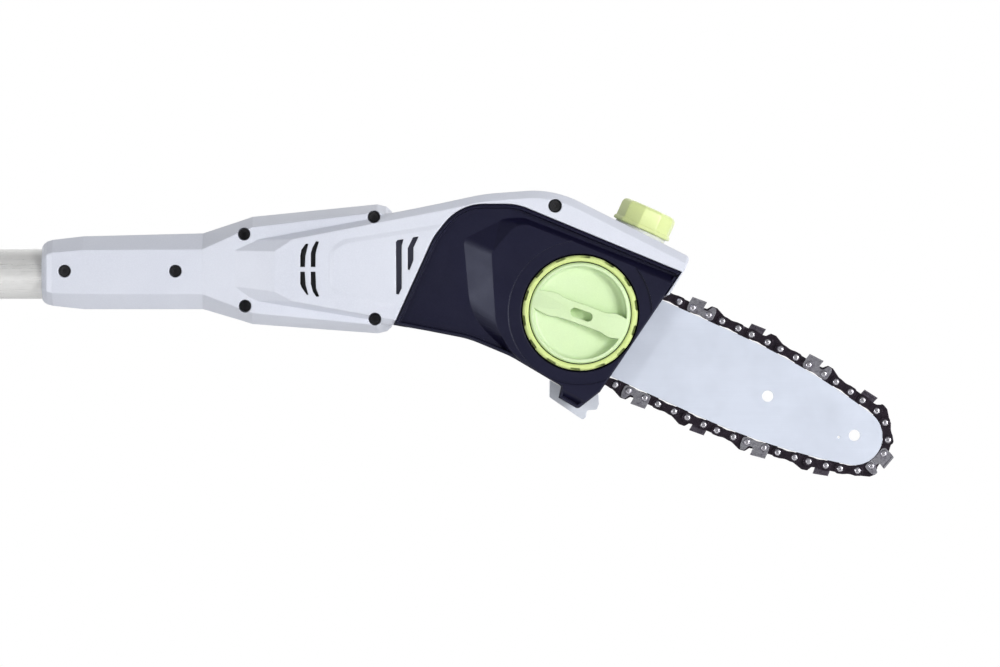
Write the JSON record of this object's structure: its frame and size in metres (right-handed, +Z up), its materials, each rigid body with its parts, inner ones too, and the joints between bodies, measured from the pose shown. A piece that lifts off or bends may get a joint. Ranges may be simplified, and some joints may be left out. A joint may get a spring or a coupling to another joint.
{
  "type": "telescoping pole saw",
  "caption": "Cordless saw on a telescoping pole for cutting branches, with an angled chain bar, side cover with lock knob, oil cap and a trigger handle.",
  "frame": {"origin": "on the pole's axis, where the upper tube enters the rear end of the saw head", "axes": "+X along the pole towards the saw, +Z up, the side cover and lock knob face -Y"},
  "size_m": [1.6406, 0.077, 0.1726],
  "materials": {
    "housing_grey": "light silver-grey moulded nylon, fine spark texture",
    "cover_black": "black glass-filled nylon with a slight blue cast, satin",
    "knob_green": "pale yellow-green moulded plastic, satin",
    "rubber_black": "black ribbed rubber sleeve",
    "tube_aluminium": "champagne anodised aluminium tube, fine drawn lines",
    "bar_steel": "silver painted and ground steel plate",
    "chain_steel": "blued steel links, oiled",
    "cutter_chrome": "hard-chromed cutter steel, ground edges",
    "zinc_steel": "zinc-plated steel",
    "gear_steel": "hardened gear steel",
    "cast_alloy": "die-cast alloy",
    "inner_plastic": "dark moulded nylon",
    "tank_plastic": "translucent white polyethylene",
    "board_green": "glass-fibre circuit board",
    "gasket_rubber": "nitrile rubber"
  },
  "bodies": {
    "head": {"housing_near": "housing_grey", "housing_far": "housing_grey", "housing_screws": "chain_steel", "upper_tube": "tube_aluminium", "guide_bush": "inner_plastic", "motor_can": "zinc_steel", "motor_end_cap": "cast_alloy", "shaft_bearings": "zinc_steel", "bearing_plate": "cast_alloy", "bearing_bracket": "cast_alloy", "side_cover": "cover_black", "bar_stud": "zinc_steel", "branch_bumper": "housing_grey", "bumper_screws": "zinc_steel", "filler_neck": "tank_plastic", "oil_tank": "tank_plastic", "oil_pump": "inner_plastic", "oil_tube": "gasket_rubber"},
    "rotor": {"motor_rotor": "gear_steel", "cooling_fan": "inner_plastic", "drive_pinion": "gear_steel"},
    "sprocket_set": {"sprocket_shaft": "gear_steel", "bevel_gear": "gear_steel", "drive_sprocket": "gear_steel", "sprocket_clip": "zinc_steel"},
    "bar_set": {"guide_bar": "bar_steel", "tension_pin": "zinc_steel", "chain_drive_links": "chain_steel", "chain_tie_straps": "chain_steel", "chain_left_cutters": "cutter_chrome", "chain_right_cutters": "cutter_chrome", "chain_rivets": "zinc_steel"},
    "tension_ring": {"tension_ring": "knob_green"},
    "knob_nut": {"knob_nut": "zinc_steel"},
    "lock_knob": {"lock_knob": "knob_green"},
    "cap_gasket": {"cap_gasket": "gasket_rubber"},
    "oil_cap": {"oil_cap": "knob_green"},
    "lower_pole": {"lower_tube": "tube_aluminium", "front_bush": "inner_plastic", "mid_grip": "rubber_black", "strap_clip": "cover_black", "clamp_collar": "cover_black", "clamp_bolt": "zinc_steel", "clamp_pin": "zinc_steel", "handle_near": "housing_grey", "handle_far": "housing_grey", "handle_screws": "chain_steel", "trigger_pin": "zinc_steel", "trigger_spring": "zinc_steel", "switch_body": "inner_plastic", "control_board": "board_green", "terminal_block": "inner_plastic", "hanging_eye": "zinc_steel"},
    "clamp_lever": {"clamp_lever": "knob_green"},
    "trigger": {"trigger": "knob_green"},
    "lock_off_button": {"lock_off_button": "knob_green"},
    "battery": {"battery_pack": "cover_black"},
    "battery_latch": {"battery_latch": "knob_green"}
  },
  "joints": [
    {"name": "pole_slide", "type": "slide", "parent": "head", "child": "lower_pole", "axis": [-1, 0, 0], "range_m": [0, 0.5]},
    {"name": "clamp_lever_swing", "type": "hinge", "parent": "lower_pole", "child": "clamp_lever", "pos_m": [-0.232, -0.024, -0.031], "axis": [0, 0, 1], "range_deg": [0, 100]},
    {"name": "trigger_pull", "type": "hinge", "parent": "lower_pole", "child": "trigger", "pos_m": [-0.934, 0, -0.009], "axis": [0, -1, 0], "range_deg": [0, 8], "stiffness_Nm_per_rad": 0.4, "springref_deg": -11.46, "deforming": ["trigger_spring"]},
    {"name": "lock_off_press", "type": "slide", "parent": "lower_pole", "child": "lock_off_button", "axis": [0, 0, -1], "range_m": [0, 0.004], "stiffness_N_per_m": 400, "springref_m": -0.002},
    {"name": "battery_slide", "type": "slide", "parent": "lower_pole", "child": "battery", "axis": [-1, 0, 0], "range_m": [0, 0.06]},
    {"name": "battery_latch_press", "type": "slide", "parent": "battery", "child": "battery_latch", "axis": [1, 0, 0], "range_m": [0, 0.003], "stiffness_N_per_m": 800, "springref_m": -0.001},
    {"name": "rotor_spin", "type": "hinge", "parent": "head", "child": "rotor", "pos_m": [0.2, 0, 0], "axis": [1, 0, 0], "continuous": true},
    {"name": "sprocket_spin", "type": "hinge", "parent": "head", "child": "sprocket_set", "pos_m": [0.2702, 0, 0], "axis": [0, 1, 0], "continuous": true},
    {"name": "bar_tension", "type": "slide", "parent": "head", "child": "bar_set", "axis": [0.9114, 0, -0.4115], "range_m": [-0.008, 0], "deforming": ["chain_drive_links", "chain_tie_straps", "chain_left_cutters", "chain_right_cutters", "chain_rivets"]},
    {"name": "tension_ring_turn", "type": "hinge", "parent": "head", "child": "tension_ring", "pos_m": [0.3228, -0.031, -0.0239], "axis": [0, -1, 0], "range_deg": [0, 300]},
    {"name": "knob_lift", "type": "slide", "parent": "head", "child": "knob_nut", "axis": [0, -1, 0], "range_m": [0, 0.00187]},
    {"name": "knob_turn", "type": "hinge", "parent": "knob_nut", "child": "lock_knob", "pos_m": [0.3228, -0.031, -0.0239], "axis": [0, -1, 0], "range_deg": [0, 540]},
    {"name": "cap_lift", "type": "slide", "parent": "head", "child": "cap_gasket", "axis": [0.4115, 0, 0.9114], "range_m": [0, 0.005]},
    {"name": "cap_turn", "type": "hinge", "parent": "cap_gasket", "child": "oil_cap", "pos_m": [0.3592, 0.004, 0.0252], "axis": [0.4115, 0, 0.9114], "range_deg": [0, 450]}
  ],
  "couplings": [
    {"joint": "rotor_spin", "follows": "sprocket_spin", "ratio": 3},
    {"joint": "tension_ring_turn", "follows": "bar_tension", "rad_per_m": -654.49},
    {"joint": "knob_turn", "follows": "knob_lift", "rad_per_m": 5026.5},
    {"joint": "cap_turn", "follows": "cap_lift", "rad_per_m": 1570.7}
  ]
}
